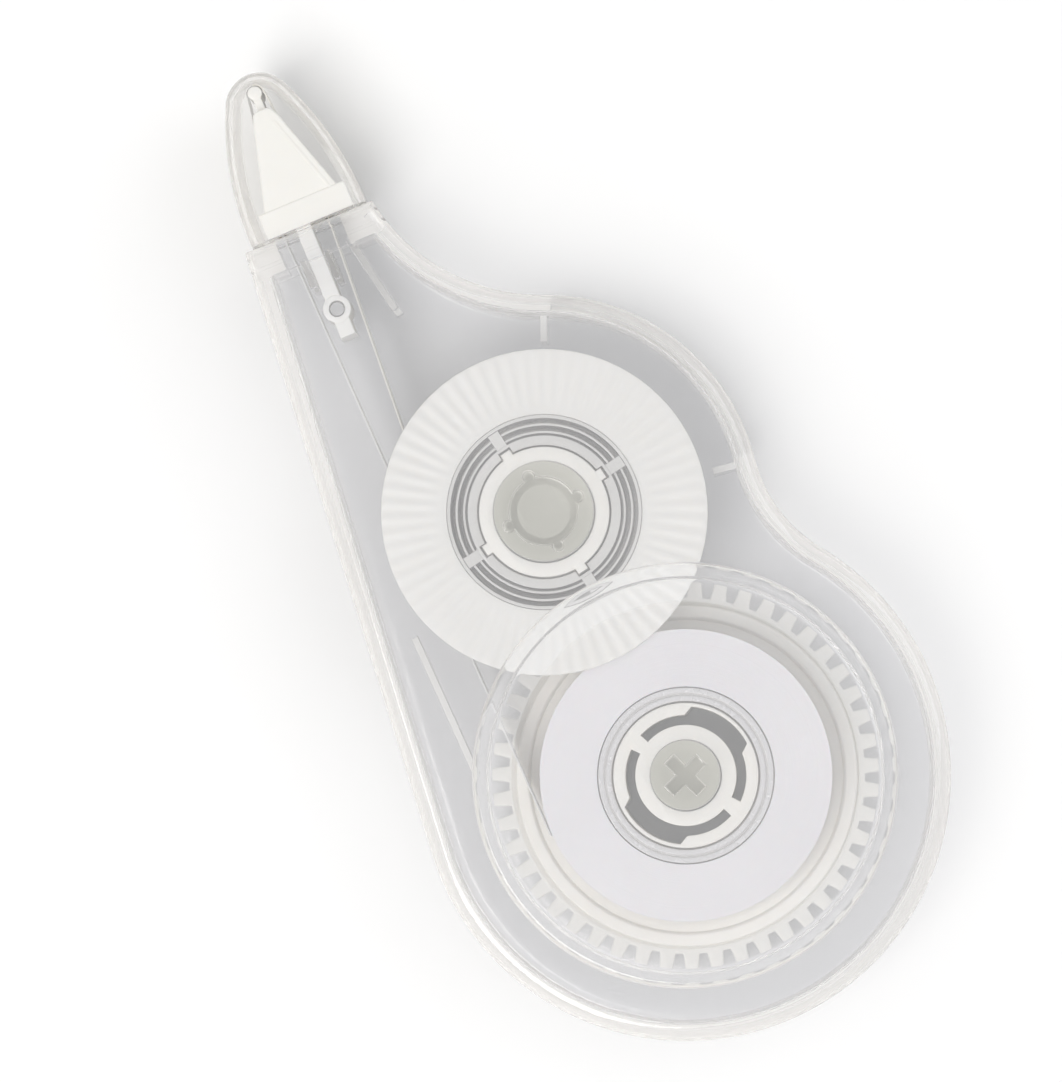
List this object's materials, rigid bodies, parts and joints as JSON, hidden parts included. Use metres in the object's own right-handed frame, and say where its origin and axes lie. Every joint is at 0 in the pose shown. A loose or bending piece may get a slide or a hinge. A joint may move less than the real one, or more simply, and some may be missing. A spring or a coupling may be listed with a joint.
{
  "type": "correction tape roller",
  "caption": "Clear-shelled dispenser with geared supply and take-up reels, a white tape head with a pressing bead and a pull-off cap.",
  "frame": {"origin": "on the supply reel's axis, in the plane of the back face that the roller lies on", "axes": "+X from the tip towards the big round end, +Y towards the take-up reel's bulge, +Z out of the front face along the reel axes"},
  "size_m": [0.0898, 0.0434, 0.013],
  "materials": {
    "clear_shell": "clear moulded styrene, polished",
    "clear_cap": "clear moulded plastic, polished",
    "white_head": "warm white moulded plastic, satin",
    "coated_tape": "white coated film, matt",
    "liner": "translucent siliconised film",
    "cream_gear": "cream acetal, satin",
    "clear_core": "clear moulded plastic",
    "tape_roll": "wound tape edges, matt lavender white",
    "frosted_spool": "milky translucent plastic"
  },
  "bodies": {
    "casing": {"lower_shell": "clear_shell", "upper_shell": "clear_shell", "transfer_head": "white_head", "feed_tape": "coated_tape", "return_liner": "liner"},
    "drive_gear": {"supply_gear": "cream_gear"},
    "supply_reel": {"supply_core": "clear_core", "supply_tape_roll": "tape_roll"},
    "take_up_reel": {"take_up_gear": "cream_gear", "take_up_spool": "frosted_spool", "take_up_liner_coil": "liner"},
    "cap": {"tip_cap": "clear_cap"}
  },
  "joints": [
    {"name": "drive_gear_spin", "type": "hinge", "parent": "casing", "child": "drive_gear", "pos_m": [0, 0, 0], "axis": [0, 0, 1], "continuous": true},
    {"name": "clutch_slip", "type": "hinge", "parent": "drive_gear", "child": "supply_reel", "pos_m": [0, 0, 0], "axis": [0, 0, 1], "continuous": true},
    {"name": "take_up_spin", "type": "hinge", "parent": "casing", "child": "take_up_reel", "pos_m": [-0.0244, 0.00226, 0], "axis": [0, 0, 1], "continuous": true},
    {"name": "cap_pull", "type": "slide", "parent": "casing", "child": "cap", "axis": [-0.9816, 0.1908, 0], "range_m": [0, 0.018]}
  ],
  "couplings": [
    {"joint": "take_up_spin", "follows": "drive_gear_spin", "ratio": -1.7407}
  ]
}
